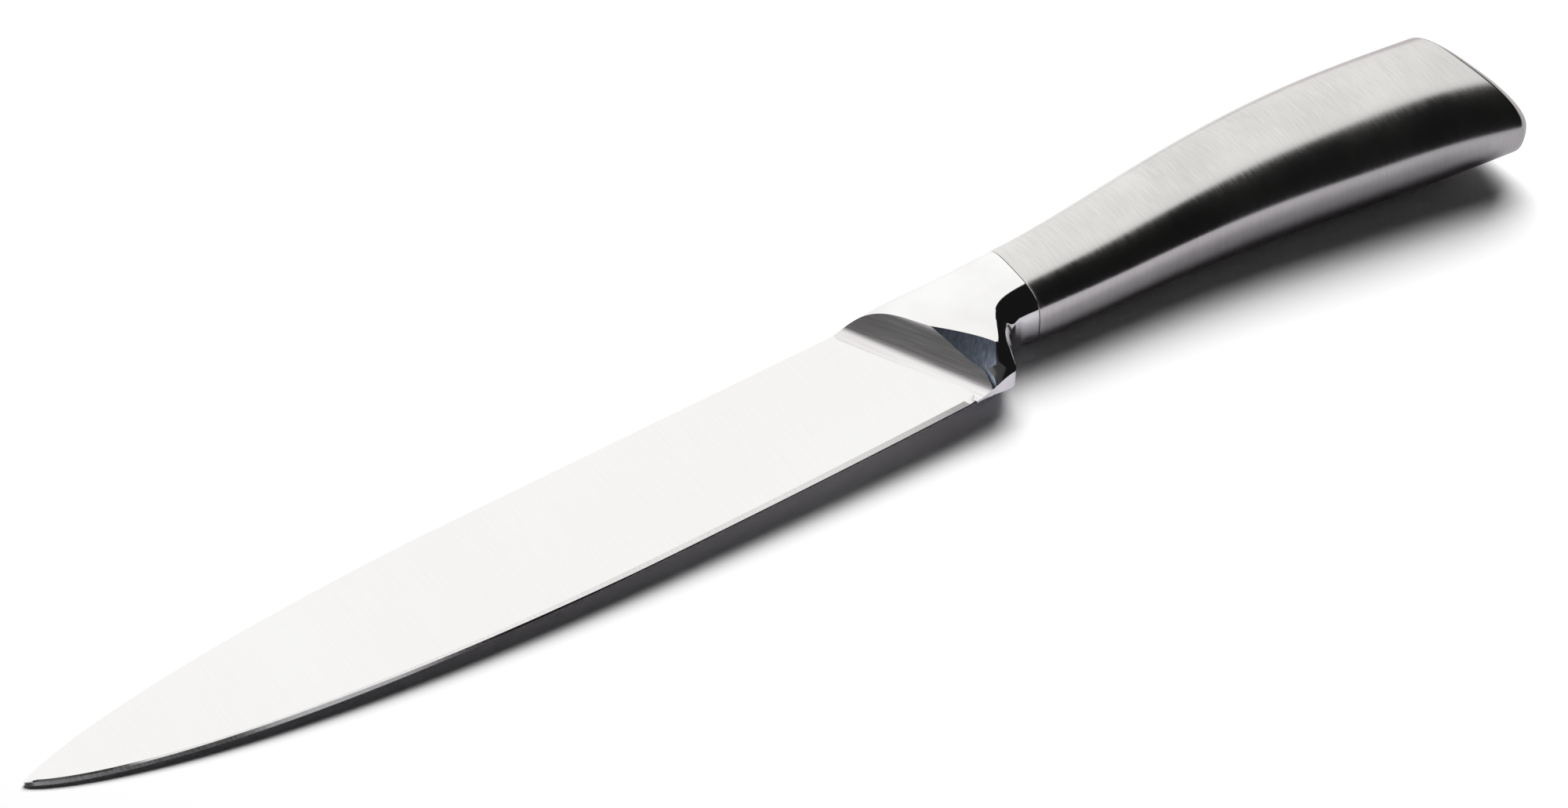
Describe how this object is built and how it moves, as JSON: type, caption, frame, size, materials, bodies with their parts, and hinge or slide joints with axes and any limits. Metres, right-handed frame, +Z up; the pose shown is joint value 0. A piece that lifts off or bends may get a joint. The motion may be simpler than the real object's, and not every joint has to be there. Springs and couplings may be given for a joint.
{
  "type": "fillet knife",
  "caption": "All-steel fillet knife lying on its side: narrow upswept blade, forged bolster with a full guard, and a hollow oval handle.",
  "frame": {"origin": "middle of the knife's box, on the surface that it lies on", "axes": "+X towards the butt, -Y towards the cutting edge, +Z up out of the knife's left side; the knife lies on its tip and on the belly of its handle"},
  "size_m": [0.334, 0.0344, 0.0219],
  "materials": {
    "ground_steel": "ground and polished",
    "handle_left_steel": "satin, brushed across the handle",
    "handle_right_steel": "satin, brushed across the handle",
    "cap_steel": "satin",
    "plain_steel": "raw"
  },
  "bodies": {
    "root": {"blade": "ground_steel", "handle_shell_left": "handle_left_steel", "handle_shell_right": "handle_right_steel", "butt_cap": "cap_steel", "balance_weight": "plain_steel"}
  },
  "joints": []
}
